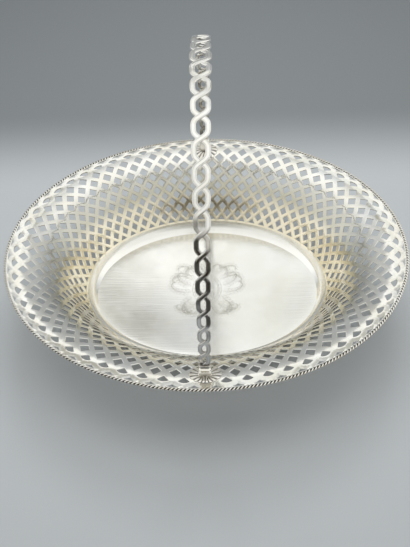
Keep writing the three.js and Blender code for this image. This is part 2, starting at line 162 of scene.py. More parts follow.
table = bpy.data.materials.new("table_top")
table.use_nodes = True
tree = table.node_tree
surface = tree.nodes["Principled BSDF"]
surface.inputs["Roughness"].default_value = 0.75
surface.inputs["Specular IOR Level"].default_value = 0.15
place = add_node(tree, "ShaderNodeTexCoord").outputs["Object"]
depth = add_node(tree, "ShaderNodeSeparateXYZ", {"Vector": place}).outputs["Y"]
back = add_node(
    tree,
    "ShaderNodeMapRange",
    {"Value": depth, "From Min": TABLE_DARKENS[0], "From Max": TABLE_DARKENS[1]},
    interpolation_type="SMOOTHSTEP",
)
rays = add_node(tree, "ShaderNodeLightPath").outputs
seen_back = add_node(
    tree,
    "ShaderNodeMath",
    {0: back.outputs["Result"], 1: rays["Is Camera Ray"]},
    operation="MULTIPLY",
)
shade = add_node(tree, "ShaderNodeValToRGB", {"Fac": seen_back.outputs["Value"]})
set_stops(shade, [(0.0, TABLE_NEAR), (1.0, TABLE_FAR)])
edge = add_node(
    tree,
    "ShaderNodeMapRange",
    {
        "Value": depth,
        "From Min": TABLE_ENDS[0],
        "From Max": TABLE_ENDS[1],
        "To Max": DARK_SHARE,
    },
)
mirrored_edge = add_node(
    tree,
    "ShaderNodeMath",
    {0: edge.outputs["Result"], 1: rays["Is Glossy Ray"]},
    operation="MULTIPLY",
)
seen = add_node(tree, "ShaderNodeMix", {"Factor": mirrored_edge.outputs["Value"]}, data_type="RGBA")
tree.links.new(shade.outputs["Color"], seen.inputs["A"])
seen.inputs["B"].default_value = linear(DARK_PLACE)
tree.links.new(seen.outputs["Result"], surface.inputs["Base Color"])

bed = bmesh.new()
bmesh.ops.create_grid(bed, x_segments=1, y_segments=1, size=TABLE_REACH)
bed_mesh = bpy.data.meshes.new("table")
bed.to_mesh(bed_mesh)
bed.free()
bed_mesh.materials.append(table)
bed_object = bpy.data.objects.new("table", bed_mesh)
bpy.context.scene.collection.objects.link(bed_object)

for name, width, height, place, watts in LAMPS:
    lamp_data = bpy.data.lights.new(name, "AREA")
    lamp_data.shape = "RECTANGLE"
    lamp_data.size = width
    lamp_data.size_y = height
    lamp_data.energy = watts
    lamp = bpy.data.objects.new(name, lamp_data)
    lamp.location = place
    lamp.visible_glossy = False  # the room's own patches stand for the lamps in the silver
    lamp.rotation_euler = Vector(place).to_track_quat("Z", "Y").to_euler()
    bpy.context.scene.collection.objects.link(lamp)

room = bpy.data.worlds.new("room")
bpy.context.scene.world = room
room.use_nodes = True
tree = room.node_tree
emit = tree.nodes["Background"]
gaze = add_node(tree, "ShaderNodeTexCoord").outputs["Generated"]
depth = add_node(tree, "ShaderNodeSeparateXYZ", {"Vector": gaze}).outputs["Y"]
across = add_node(tree, "ShaderNodeMapRange", {"Value": depth, "From Min": -1.0})
walls = add_node(tree, "ShaderNodeValToRGB", {"Fac": across.outputs["Result"]})
set_stops(walls, ROOM_TONES)
colour = walls.outputs["Color"]
for direction, half_size, tone in ROOM_PATCHES:
    offset = add_node(tree, "ShaderNodeVectorMath", {0: gaze, 1: direction}, operation="SUBTRACT")
    scaled = add_node(
        tree,
        "ShaderNodeVectorMath",
        {0: offset.outputs["Vector"], 1: half_size},
        operation="DIVIDE",
    )
    distance = add_node(
        tree, "ShaderNodeVectorMath", {0: scaled.outputs["Vector"]}, operation="LENGTH"
    )
    cover = add_node(
        tree,
        "ShaderNodeMapRange",
        {
            "Value": distance.outputs["Value"],
            "From Min": PATCH_FADES[0],
            "From Max": PATCH_FADES[1],
        },
        interpolation_type="SMOOTHSTEP",
    )
    patch = add_node(tree, "ShaderNodeMix", {"Factor": cover.outputs["Result"]}, data_type="RGBA")
    tree.links.new(colour, patch.inputs["A"])
    patch.inputs["B"].default_value = linear(tone)
    colour = patch.outputs["Result"]
rays = add_node(tree, "ShaderNodeLightPath").outputs
shown = add_node(
    tree, "ShaderNodeMix", {"Factor": rays["Is Camera Ray"], "A": colour}, data_type="RGBA"
)
shown.inputs["B"].default_value = linear(BACKDROP)
tree.links.new(shown.outputs["Result"], emit.inputs["Color"])
lit = add_node(
    tree,
    "ShaderNodeMath",
    {0: rays["Is Glossy Ray"], 1: ROOM_GLOW[1] - ROOM_GLOW[0], 2: ROOM_GLOW[0]},
    operation="MULTIPLY_ADD",
)
strength = add_node(
    tree,
    "ShaderNodeMath",
    {0: rays["Is Camera Ray"], 1: 1 - ROOM_GLOW[0], 2: lit.outputs["Value"]},
    operation="MULTIPLY_ADD",
)
tree.links.new(strength.outputs["Value"], emit.inputs["Strength"])
bpy.context.scene.view_settings.view_transform = "Standard"


# Pierced wall. Sheet silver, cut by hand into a trellis of diagonal straps and raised into
# a flare over a round shoulder; its four panels are soldered end to end. Each opening has
# a filed edge, and the lower half of the wall has kept a yellow film. Painted shade darkens
# the cut edges, the back of the sheet and a grey band in the upper middle of the wall.
RIM_HALF_LENGTH = 180.0
RIM_HALF_WIDTH = 148.0
WALL_RUN = 72.0
BOWL_DEPTH = 65.5
WALL_THICKNESS = 0.95
EDGE_CHAMFER = 0.28
FILED_EDGE = 0.07
STRAP_CROWN = 0.1
COLUMNS = 60
ROWS = 12
FIRST_ROW_INSET = 8.3
ROW_PITCH = 7.2
OPENING = 0.3  # half an opening's width as a share of the column pitch
# Painted shade: how dark the cut edge inside each opening and the back of the sheet are made.
CUT_EDGE_SHADE = 0.2
BACK_SHEET_SHADE = 0.35
BAND_RUN = 8.2
BAND_RISE = 10.6
WALL_TOP_INSET = 1.0
# Tone of the wall by height, from the foot of its slope to the rim: a warm yellow film,
# then a grey band that is painted shade, then clean.
WALL_FILM_AND_SHADE = (
    (0.0, "#FFF9E8"),
    (0.45, "#FCF4E2"),
    (0.64, "#CDCBC0"),
    (0.82, "#D2D2CE"),
    (0.93, "#FFFFFF"),
)
START_TURN = 0.25  # columns are counted from the middle of the back
MULTIPLY = {"data_type": "RGBA", "blend_type": "MULTIPLY"}
# Fine scratches that polishing leaves on all the silver.
SCRATCH_SIZE = 1.1
SCRATCH_DEPTH = 0.006


def spline(points, steps):
    """Dense points on a smooth curve through the given ones."""
    knots = np.array([points[0], *points, points[-1]], dtype=float)
    curve = []
    for i in range(len(points) - 1):
        a, b, c, d = knots[i : i + 4]
        for t in np.linspace(0, 1, steps, endpoint=False):
            bend = (2 * a - 5 * b + 4 * c - d) * t**2 + (3 * b - a - 3 * c + d) * t**3
            curve.append(0.5 * (2 * b + (c - a) * t + bend))
    curve.append(knots[-1])
    return np.array(curve)


# The wall's section, as distance in from the rim wire and height above the well.
wall_section = spline(
    [
        (WALL_TOP_INSET, BOWL_DEPTH + 0.02),
        (0.2 * WALL_RUN, 0.98 * BOWL_DEPTH),
        (0.39 * WALL_RUN, 0.875 * BOWL_DEPTH),
        (0.565 * WALL_RUN, 0.715 * BOWL_DEPTH),
        (0.69 * WALL_RUN, 0.525 * BOWL_DEPTH),
        (0.79 * WALL_RUN, 0.33 * BOWL_DEPTH),
        (WALL_RUN - BAND_RUN, BAND_RISE),
    ],
    steps=40,
)
section_step = np.hypot(*np.diff(wall_section, axis=0).T)
section_run = np.concatenate([[0], np.cumsum(section_step)])
section_slope = np.gradient(wall_section, section_run, axis=0)

# Turning angle of evenly spaced columns on each level line of the body, an ellipse that
# lies the same distance in from the rim all round.
INSETS = np.linspace(-6, 80, 44)
TURNS = np.linspace(0, 1, 721)
angles = np.linspace(0, 2 * np.pi, 2881)
turn_angles = []
for inset in INSETS:
    x = (RIM_HALF_LENGTH - inset) * np.cos(angles)
    y = (RIM_HALF_WIDTH - inset) * np.sin(angles)
    run = np.concatenate([[0], np.cumsum(np.hypot(np.diff(x), np.diff(y)))])
    turn_angles.append(np.interp(TURNS * run[-1], run, angles))
turn_angles = np.array(turn_angles)


def around(inset, turn):
    """X and Y on the level lines that lie inset in from the rim, turn being a share of them."""
    i = np.clip((inset - INSETS[0]) / (INSETS[1] - INSETS[0]), 0, len(INSETS) - 1.001)
    j = np.mod(turn, 1.0) * (len(TURNS) - 1)
    i0 = np.floor(i).astype(int)
    j0 = np.minimum(np.floor(j).astype(int), len(TURNS) - 2)
    near, far = (
        turn_angles[i0 + k, j0] * (1 - j + j0) + turn_angles[i0 + k, j0 + 1] * (j - j0)
        for k in (0, 1)
    )
    angle = near * (1 - i + i0) + far * (i - i0)
    return (RIM_HALF_LENGTH - inset) * np.cos(angle), (RIM_HALF_WIDTH - inset) * np.sin(angle)


def bend_to_wall(form, first_column):
    """Bends a flat piece whose X, Y and Z are column, row and height over the sheet's middle."""
    column, row, rise = np.array([vert.co for vert in form.verts]).T
    run = FIRST_ROW_INSET - WALL_TOP_INSET + ROW_PITCH * row
    along, height = (np.interp(run, section_run, wall_section[:, k]) for k in (0, 1))
    lean, climb = (np.interp(run, section_run, section_slope[:, k]) for k in (0, 1))
    x, y = around(along - climb * rise, (column + first_column) / COLUMNS + START_TURN)
    for vert, place in zip(form.verts, zip(x, y, WELL_TOP + height + lean * rise)):
        vert.co = place


def mirrored(half):
    """A closed outline from its right half, listed from the middle round to the middle."""
    return half + [(-x, *rest) for x, *rest in reversed(half[1:-1])]


def new_form():
    """An empty form; its points keep a recess value that darkens their colour: tarnish in real
    hollows, and painted shade on some parts.
    """
    form = bmesh.new()
    form.verts.layers.float.new("recess")
    return form


def skin(form, loops):
    """Skins loops that have the same number of points, in order, by rolling up a flat grid.
    A fourth value of a point is its recess."""
    steps, sides = len(loops) - 1, len(loops[0])
    recess = form.verts.layers.float["recess"]
    grid = bmesh.ops.create_grid(form, x_segments=steps, y_segments=sides, size=0.5)
    for vert in grid["verts"]:
        i, j = round((vert.co.x + 0.5) * steps), round((vert.co.y + 0.5) * sides)
        x, y, z, *depth = loops[i][j % sides]
        vert.co = (x, y, z)
        vert[recess] = depth[0] if depth else 0.0


def pierced_cell(net, outline, opening, column, row):
    """One opening with the metal round it: front face, filed edge, cut edge and back."""
    half = WALL_THICKNESS / 2
    centre = np.mean(opening, axis=0)
    wider = [tuple(point + FILED_EDGE * (point - centre)) for point in np.array(opening)]
    skin(
        net,
        [
            [(column + x, row + y, rise, depth) for x, y in loop]
            for loop, rise, depth in (
                (outline, half + STRAP_CROWN, 0.0),
                (wider, half, 0.0),
                (opening, half - EDGE_CHAMFER, 0.0),
                # the cut edge and the back are darkened as painted shade
                (opening, -half, CUT_EDGE_SHADE),
                (outline, -half, BACK_SHEET_SHADE),
            )
        ],
    )


RIM_EDGE = (WALL_TOP_INSET - FIRST_ROW_INSET) / ROW_PITCH
BAND_EDGE = (section_run[-1] + WALL_TOP_INSET - FIRST_ROW_INSET) / ROW_PITCH

# Outlines of the metal round an opening, and of the opening, in columns and rows from its
# middle. The first row is arched, with spandrels between it and the rim; the second reaches
# up to it; and the last is cut in half by the band.
hole = OPENING
diamond = mirrored([(0, -1), (0.25, -0.5), (0.5, 0), (0.25, 0.5), (0, 1)])
diamond_hole = [(2 * hole * x, 2 * hole * y) for x, y in diamond]
second = mirrored([(0, -1.1), (0.25, -0.55), (0.5, 0), (0.25, 0.5), (0, 1)])
second_hole = mirrored(
    [(0, -2.1 * hole), (hole / 2, -1.05 * hole), (hole, 0), (hole / 2, hole), (0, 2 * hole)]
)
arch = [(0.5, -0.1), (0.44, -0.32), (0.3, -0.5), (0.15, -0.6), (0, -0.64)]
first = mirrored([(0, 1), (0.25, 0.45), *arch])
first_hole = mirrored(
    [(0, 0.4), (0.14, 0.14), (0.275, -0.12), (0.215, -0.235), (0.14, -0.3)]
    + [(0.07, -0.34), (0, -0.35)]
)
spandrel = mirrored(
    [(0.5 - x, y) for x, y in arch] + [(0.5, RIM_EDGE), (0.25, RIM_EDGE), (0, RIM_EDGE)]
)
spandrel_hole = mirrored(
    [(0, -0.58), (0.045, -0.65), (0.1, -0.73), (0.17, -0.8), (0.25, -0.85)]
    + [(0.255, -0.87), (0.13, -0.88), (0, -0.885)]
)
last_edge = BAND_EDGE - ROWS + 1
last = mirrored([(0, -1), (0.25, -0.5), (0.5, 0), *[(x, last_edge) for x in (0.5, 0.25, 0)]])
last_hole = mirrored(
    [(0, -2 * hole), (hole / 2, -hole), (hole - 0.02, -0.05), (hole - 0.03, 0), (0.13, 0), (0, 0)]
)
CELLS = {0: (first, first_hole), 1: (second, second_hole), ROWS - 1: (last, last_hole)}


def flat_panel(columns):
    """The trellis of one panel laid out flat, with column, row and rise as its X, Y and Z."""
    net = new_form()
    for row in range(ROWS):
        outline, opening = CELLS.get(row, (diamond, diamond_hole))
        start = 0.5 if row % 2 else 0
        for i in range(columns + (0 if row % 2 else 1)):
            pierced_cell(net, outline, opening, start + i, row)
            if row == 1:
                pierced_cell(net, spandrel, spandrel_hole, start + i, 0)
    bmesh.ops.remove_doubles(net, verts=net.verts, dist=1e-4)
    for edge_row in (RIM_EDGE, BAND_EDGE):
        edges = [
            e
            for e in net.edges
            if e.is_boundary and all(abs(v.co.y - edge_row) < 1e-3 and v.co.z > 0 for v in e.verts)
        ]
        made = bmesh.ops.extrude_edge_only(net, edges=edges)
        for vert in made["geom"]:
            if isinstance(vert, bmesh.types.BMVert):
                vert.co.z = -WALL_THICKNESS / 2
    bmesh.ops.remove_doubles(net, verts=net.verts, dist=1e-4)
    for place, out in ((0, -1), (columns, 1)):
        bmesh.ops.bisect_plane(
            net,
            geom=net.verts[:] + net.edges[:] + net.faces[:],
            dist=1e-4,
            plane_co=(place, 0, 0),
            plane_no=(out, 0, 0),
            clear_outer=True,
        )
    bmesh.ops.holes_fill(net, edges=[e for e in net.edges if e.is_boundary], sides=0)
    return net


def finish_piece(form, name, body, nodes, material, sharp=32):
    """Turns a shape in millimetres into a finished piece that rides on its body. Edges that
    turn by more degrees than sharp stay crisp, and the rest is smooth."""
    bmesh.ops.scale(form, vec=(MM, MM, MM), verts=form.verts)
    bmesh.ops.recalc_face_normals(form, faces=form.faces)
    for face in form.faces:
        face.smooth = True
    for edge in form.edges:
        edge.smooth = len(edge.link_faces) == 2 and edge.calc_face_angle(0) < math.radians(sharp)
    mesh = bpy.data.meshes.new(name)
    form.to_mesh(mesh)
    form.free()
    mesh.materials.append(material)
    piece = bpy.data.objects.new(name, mesh)
    bpy.context.scene.collection.objects.link(piece)
    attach(piece, body)
    if nodes:
        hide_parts(*nodes)


def polished_silver(
    name, clean, tarnish, tarnish_share, roughness, cloud_mm, wave_mm, wave_depth, dark="#4A443A"
):
    """Old polished silver: bright, softly clouded by handling, with tarnish left in patches and
    darkened by the recess value (tarnish in real hollows, painted shade on some parts), faintly
    uneven, and covered with fine polishing scratches."""
    silver = bpy.data.materials.new(name)
    silver.use_nodes = True
    tree = silver.node_tree
    surface = tree.nodes["Principled BSDF"]
    surface.inputs["Metallic"].default_value = 1.0
    place = add_node(tree, "ShaderNodeTexCoord").outputs["Object"]
    clouds = add_node(
        tree,
        "ShaderNodeTexNoise",
        {"Vector": place, "Scale": 1 / (cloud_mm * MM), "Detail": 5.0, "Roughness": 0.6},
    )
    patches = add_node(
        tree,
        "ShaderNodeMapRange",
        {
            "Value": clouds.outputs["Fac"],
            "From Min": 0.35,
            "From Max": 0.75,
            "To Max": tarnish_share,
        },
    )
    tint = add_node(tree, "ShaderNodeMix", {"Factor": patches.outputs["Result"]}, data_type="RGBA")
    tint.inputs["A"].default_value = linear(clean)
    tint.inputs["B"].default_value = linear(tarnish)
    recess = add_node(tree, "ShaderNodeAttribute", attribute_name="recess").outputs["Fac"]
    shaded = add_node(tree, "ShaderNodeMix", {"Factor": recess}, data_type="RGBA")
    tree.links.new(tint.outputs["Result"], shaded.inputs["A"])
    shaded.inputs["B"].default_value = linear(dark)
    tree.links.new(shaded.outputs["Result"], surface.inputs["Base Color"])
    smears = add_node(
        tree,
        "ShaderNodeTexNoise",
        {"Vector": place, "Scale": 1 / (0.45 * cloud_mm * MM), "Detail": 3.0},
    )
    gloss = add_node(
        tree,
        "ShaderNodeMapRange",
        {
            "Value": smears.outputs["Fac"],
            "From Min": 0.3,
            "From Max": 0.7,
            "To Min": 0.7 * roughness,
            "To Max": 1.4 * roughness,
        },
    )
    tree.links.new(gloss.outputs["Result"], surface.inputs["Roughness"])
    waves = add_node(
        tree,
        "ShaderNodeTexNoise",
        {"Vector": place, "Scale": 1 / (wave_mm * MM), "Detail": 2.0},
    )
    bent = add_node(
        tree,
        "ShaderNodeBump",
        {"Height": waves.outputs["Fac"], "Distance": wave_depth * MM, "Strength": 1.0},
    )
    grain = add_node(
        tree,
        "ShaderNodeTexNoise",
        {"Vector": place, "Scale": 1 / (SCRATCH_SIZE * MM), "Detail": 2.0},
    )
    fine = add_node(
        tree,
        "ShaderNodeBump",
        {
            "Height": grain.outputs["Fac"],
            "Distance": SCRATCH_DEPTH * MM,
            "Strength": 1.0,
            "Normal": bent.outputs["Normal"],
        },
    )
    tree.links.new(fine.outputs["Normal"], surface.inputs["Normal"])
    return silver


wall_silver = polished_silver(
    "pierced_sheet_silver",
    clean="#F4F4F1",
    tarnish="#DCD2B4",
    tarnish_share=0.4,
    roughness=0.11,
    cloud_mm=26.0,
    wave_mm=8.0,
    wave_depth=0.09,
    dark="#6E675A",
)
tree = wall_silver.node_tree
surface = tree.nodes["Principled BSDF"]
worn_and_shaded = surface.inputs["Base Color"].links[0].from_socket
place = add_node(tree, "ShaderNodeTexCoord").outputs["Object"]
level = add_node(
    tree,
    "ShaderNodeMapRange",
    {
        "Value": add_node(tree, "ShaderNodeSeparateXYZ", {"Vector": place}).outputs["Z"],
        "From Min": WELL_TOP * MM,
        "From Max": (WELL_TOP + BOWL_DEPTH) * MM,
    },
)
# The warm lower stops are a yellow film; the grey stops darken the wall's upper middle as painted
# shade.
film_and_shade_ramp = add_node(tree, "ShaderNodeValToRGB", {"Fac": level.outputs["Result"]})
set_stops(film_and_shade_ramp, WALL_FILM_AND_SHADE)
wall_tone_mix = add_node(
    tree, "ShaderNodeMix", {"Factor": 1.0, "A": worn_and_shaded, "B": film_and_shade_ramp.outputs["Color"]}, **MULTIPLY
)
tree.links.new(wall_tone_mix.outputs["Result"], surface.inputs["Base Color"])
panels = ("back_left", "front_left", "front_right", "back_right")
panel_columns = COLUMNS // len(panels)
for i, side in enumerate(panels):
    panel = flat_panel(panel_columns)
    bend_to_wall(panel, i * panel_columns)
    finish_piece(
        panel,
        "trellis_" + side,
        "basket",
        ["wall_panel_" + side],
        wall_silver,
    )


# Corded rim. Two silver wires twisted into a cord and soldered round the top of the wall,
# where each twist catches its own light; the side of each wire that faces the other is
# painted dark, as shade in the groove between them.
CORD_WIRE_RADIUS = 0.95
CORD_TWIST_RADIUS = 0.82
CORD_TWISTS = 172
CORD_STEPS = 12  # to each twist
CORD_SIDES = 8
# The outside of each wire keeps its colour; the rest of it, round to the inside, is painted shade.
CORD_UNSHADED = 0.15  # how far the bright outside of each wire reaches round it

rim_silver = polished_silver(
    "corded_wire_silver",
    clean="#F4F3EF",
    tarnish="#CFC4A6",
    tarnish_share=0.4,
    roughness=0.18,
    cloud_mm=14.0,
    wave_mm=6.0,
    wave_depth=0.02,
    dark="#3A352E",
)

cord = new_form()
steps = CORD_TWISTS * CORD_STEPS
turns = np.arange(steps + 1) / steps
x, y = around(0.0, turns)
middle = np.stack([x, y, np.full_like(x, WELL_TOP + BOWL_DEPTH)], axis=1)
out = np.stack([x / RIM_HALF_LENGTH**2, y / RIM_HALF_WIDTH**2, 0 * x], axis=1)
out /= np.linalg.norm(out, axis=1)[:, None]
up = np.array([0.0, 0.0, 1.0])
sides = 2 * math.pi * np.arange(CORD_SIDES) / CORD_SIDES
for wire in (0, 1):
    twist = 2 * math.pi * (CORD_TWISTS * turns + wire / 2)
    lead = np.cos(twist)[:, None] * out + np.sin(twist)[:, None] * up
    around_wire = twist[:, None] + sides
    ring = np.cos(around_wire)[..., None] * out[:, None] + np.sin(around_wire)[..., None] * up
    surface_points = (middle + CORD_TWIST_RADIUS * lead)[:, None] + CORD_WIRE_RADIUS * ring
    # Painted shade on the side of each wire that faces the middle of the cord.
    depth = np.clip(CORD_UNSHADED - np.cos(sides), 0, 1)[None, :, None]
    depth = np.broadcast_to(depth, surface_points.shape[:2] + (1,))
    skin(cord, np.concatenate([surface_points, depth], axis=2))
bmesh.ops.remove_doubles(cord, verts=cord.verts, dist=1e-4)
finish_piece(cord, "corded_rim", "basket", ["rim_wire"], rim_silver, sharp=75)


# Well. One raised sheet: a flat oval plate with a hollow-curved plain band that stands up
# round it and carries the wall. The plate is polished almost to a mirror.
WELL_THICKNESS = 1.6
WELL_DISH = 0.5
# The dish of the plate, as share of the way from the band to the middle, and of its depth.
DISH_SECTION = ((0.01, 0.1), (0.05, 0.35), (0.1, 0.55), (0.2, 0.82), (0.35, 0.97), (0.6, 1.0))
BAND_BACK = (1.0, 1.25)  # how far the band's back lies outside its face, and below it
# How much tarnish the underside keeps, where nobody polishes it, and the band's back.
UNDERSIDE = 0.8
BAND_UNDERSIDE = 0.32
OVAL_STEPS = 240
# Streaks that rubbing along the well has left: width as a share of length, width and depth.
STREAK_NARROWING = 0.045
STREAK_WIDTH = 1.6
STREAK_DEPTH = 0.02

well_silver = polished_silver(
    "polished_well_silver",
    clean="#F6F6F4",
    tarnish="#EAE5D6",
    tarnish_share=0.4,
    roughness=0.13,
    cloud_mm=45.0,
    wave_mm=38.0,
    wave_depth=0.1,
)
tree = well_silver.node_tree
surface = tree.nodes["Principled BSDF"]
uneven = surface.inputs["Normal"].links[0].from_socket
along = add_node(
    tree,
    "ShaderNodeMapping",
    {
        "Vector": add_node(tree, "ShaderNodeTexCoord").outputs["Object"],
        "Scale": (STREAK_NARROWING, 1.0, 1.0),
    },
)
streaks = add_node(
    tree,
    "ShaderNodeTexNoise",
    {"Vector": along.outputs["Vector"], "Scale": 1 / (STREAK_WIDTH * MM), "Detail": 3.0},
)
rubbed = add_node(
    tree,
    "ShaderNodeBump",
    {
        "Height": streaks.outputs["Fac"],
        "Distance": STREAK_DEPTH * MM,
        "Strength": 1.0,
        "Normal": uneven,
    },
)
tree.links.new(rubbed.outputs["Normal"], surface.inputs["Normal"])


def oval(form, profile, steps):
    """Spins a section, given as distance in from the rim, height and perhaps recess, and
    lets the round out along X so that each level line keeps its distance from the rim."""
    recess = form.verts.layers.float["recess"]
    verts = []
    for inset, height, *depth in profile:
        verts.append(form.verts.new((RIM_HALF_WIDTH - inset, 0, height)))
        verts[-1][recess] = depth[0] if depth else 0.0
    edges = [form.edges.new(pair) for pair in zip(verts, verts[1:])]
    bmesh.ops.spin(
        form,
        geom=verts + edges,
        axis=(0, 0, 1),
        angle=2 * math.pi,
        steps=steps,
        use_merge=True,
    )
    well_radius = RIM_HALF_WIDTH - WALL_RUN
    for vert in form.verts:
        radius = math.hypot(vert.co.x, vert.co.y)
        if radius > 1e-6:
            let_out = (RIM_HALF_LENGTH - RIM_HALF_WIDTH) * min(1, radius / well_radius)
            vert.co.x += let_out * vert.co.x / radius
    bmesh.ops.remove_doubles(form, verts=form.verts, dist=1e-3)


band = spline(
    [
        (WALL_RUN - BAND_RUN, WELL_TOP + BAND_RISE + 0.35),
        (WALL_RUN - 0.78 * BAND_RUN, WELL_TOP + 0.72 * BAND_RISE),
        (WALL_RUN - 0.42 * BAND_RUN, WELL_TOP + 0.31 * BAND_RISE),
        (WALL_RUN, WELL_TOP),
    ],
    steps=6,
)
band_back = [
    (inset - BAND_BACK[0], height - BAND_BACK[1], BAND_UNDERSIDE) for inset, height in band[::4]
]
plate = [
    (WALL_RUN + k * (RIM_HALF_WIDTH - WALL_RUN), WELL_TOP - WELL_DISH * sink)
    for k, sink in DISH_SECTION
]
plate_back = [(inset, height - WELL_THICKNESS, UNDERSIDE) for inset, height in plate]
well = new_form()
oval(
    well,
    [(RIM_HALF_WIDTH, WELL_TOP - WELL_DISH)]
    + plate[::-1]
    + [tuple(point) for point in band[::-1]]
    + band_back
    + plate_back
    + [(RIM_HALF_WIDTH, WELL_TOP - WELL_DISH - WELL_THICKNESS, UNDERSIDE)],
    OVAL_STEPS,
)
finish_piece(well, "well", "basket", ["well_plate"], well_silver, sharp=24)


# Foot. An oval collet of sheet silver that flares out under the well, on a half-round base
# wire; both are soldered, a little rougher than the parts that are polished more often, and
# painted darker than the rest of the silver as shade under the well.
FOOT_HEIGHT = 11.6
FOOT_TOP_INSET = WALL_RUN + 2.5
FOOT_SPREAD = 5.0
FOOT_THICKNESS = 1.2
BASE_WIRE_HEIGHT = 2.6
BASE_WIRE_WIDTH = 3.6

# Its clean colour is painted darker than the rest of the silver, as shade under the well.
foot_silver_painted_shade = polished_silver(
    "soldered_foot_silver",
    clean="#BCB7AC",
    tarnish="#7E7565",
    tarnish_share=0.6,
    roughness=0.24,
    cloud_mm=18.0,
    wave_mm=12.0,
    wave_depth=0.05,
)
flare = spline(
    [
        (FOOT_TOP_INSET, FOOT_HEIGHT),
        (FOOT_TOP_INSET - 0.12 * FOOT_SPREAD, 0.75 * FOOT_HEIGHT),
        (FOOT_TOP_INSET - 0.42 * FOOT_SPREAD, 0.5 * FOOT_HEIGHT),
        (FOOT_TOP_INSET - FOOT_SPREAD, BASE_WIRE_HEIGHT),
    ],
    steps=5,
)
collet = new_form()
oval(
    collet,
    [tuple(point) for point in flare]
    + [(inset + FOOT_THICKNESS, height) for inset, height in flare[::-1]]
    + [tuple(flare[0])],
    OVAL_STEPS // 2,
)
finish_piece(collet, "foot_collet_raised", "basket", ["foot_collet"], foot_silver_painted_shade)

middle = FOOT_TOP_INSET + FOOT_THICKNESS / 2 - FOOT_SPREAD
wire = new_form()
half_round = [
    (
        middle - 0.5 * BASE_WIRE_WIDTH * math.cos(k * math.pi / 8),
        BASE_WIRE_HEIGHT * (0.3 + 0.7 * math.sin(k * math.pi / 8)),
    )
    for k in range(9)
]
oval(
    wire,
    [(middle - 0.46 * BASE_WIRE_WIDTH, 0.0)]
    + half_round
    + [(middle + 0.46 * BASE_WIRE_WIDTH, 0.0), (middle - 0.46 * BASE_WIRE_WIDTH, 0.0)],
    OVAL_STEPS // 2,
)
finish_piece(wire, "foot_base_wire", "basket", ["foot_wire"], foot_silver_painted_shade)


# Engraving. A generic cartouche of scrolls and leaves round a blank oval, cut in fine
# lines in the middle of the well; each cut is a thin grey hairline flat on the plate.
ENGRAVING_LINE = 0.32
ENGRAVING_RISE = 0.03
ENGRAVING_ENDS = 0.12  # angle on a half wave at which a cut starts and stops
BLANK_OVAL = (11.0, 15.0)  # its half width and half height
OVAL_CENTRE = 1.0
FRAME_LINES = (0.0, 1.1, 3.2)  # the oval's outlines, out from the first
FRAME_TICKS = 11
# A tick between the outlines, as distance out and turn round the oval.
FRAME_TICK = ((1.3, 0.0), (2.1, 0.06), (3.0, 0.0))
# Each branch's start from the middle of the well, heading, length, curl and leaf size.
BRANCHES = (
    (9, 17, 1.15, 36, -3.6, 5.6),
    (12, 11, 0.75, 36, -3.8, 5.8),
    (14, 5, 0.25, 34, 3.8, 5.6),
    (14, -2, -0.15, 36, 3.6, 5.6),
    (13, -8, -0.55, 34, -3.8, 5.4),
    (9, -14, -0.95, 34, 3.6, 5.6),
    (4, -17, -1.35, 27, 3.9, 4.8),
    (3, 20, 1.5, 24, -3.6, 4.8),
    (20, 14, 1.3, 24, 3.4, 4.6),
    (22, -14, -1.4, 22, -3.4, 4.6),
)
BRANCH_STEPS = 22
# How tightly a branch curls, how far a step of it goes, and the size of its leaves: the
# share at its start, and what the share gains or loses towards its end.
BRANCH_CURLS = (0.25, 2.6)
BRANCH_STRIDES = (1.25, 0.75)
BRANCH_LEAVES = (1.15, 0.75)
# A leaf's edge, as distance out from the stem in leaf sizes, and angle to the stem.
LEAF = ((0.5, 1.1), (0.95, 0.75), (1.0, 0.45), (0.55, 0.3))
# Level cuts that shade the blank oval; the height of the top one is over its middle.
SHADING_LINES = 7
SHADING_TOP = 12.5
SHADING_PITCH = 4.0
SHADING_WIDTH = 0.2

engraved_line = polished_silver(
    "engraved_line_silver",
    clean="#C6C4BC",
    tarnish="#A29E94",
    tarnish_share=0.6,
    roughness=0.3,
    cloud_mm=9.0,
    wave_mm=3.0,
    wave_depth=0.02,
)
engraving = new_form()
plate_top = WELL_TOP - WELL_DISH


def engrave(points, width=ENGRAVING_LINE):
    """One cut along a smooth curve through the points, thin at both ends, and its mirror
    image on the other side of the middle."""
    line = spline(points, steps=7)
    run = np.gradient(line, axis=0)
    side = np.stack([-run[:, 1], run[:, 0]], axis=1) / np.linalg.norm(run, axis=1)[:, None]
    wave = np.linspace(ENGRAVING_ENDS, math.pi - ENGRAVING_ENDS, len(line))
    swell = width * np.sin(wave)[:, None]
    for hand in (1, -1):
        loops = []
        for a, b, c in zip(line - side * swell / 2, line, line + side * swell / 2):
            loops.append(
                [
                    (hand * a[0], a[1], plate_top),
                    (hand * b[0], b[1], plate_top + ENGRAVING_RISE),
                    (hand * c[0], c[1], plate_top),
                ]
            )
        skin(engraving, loops)


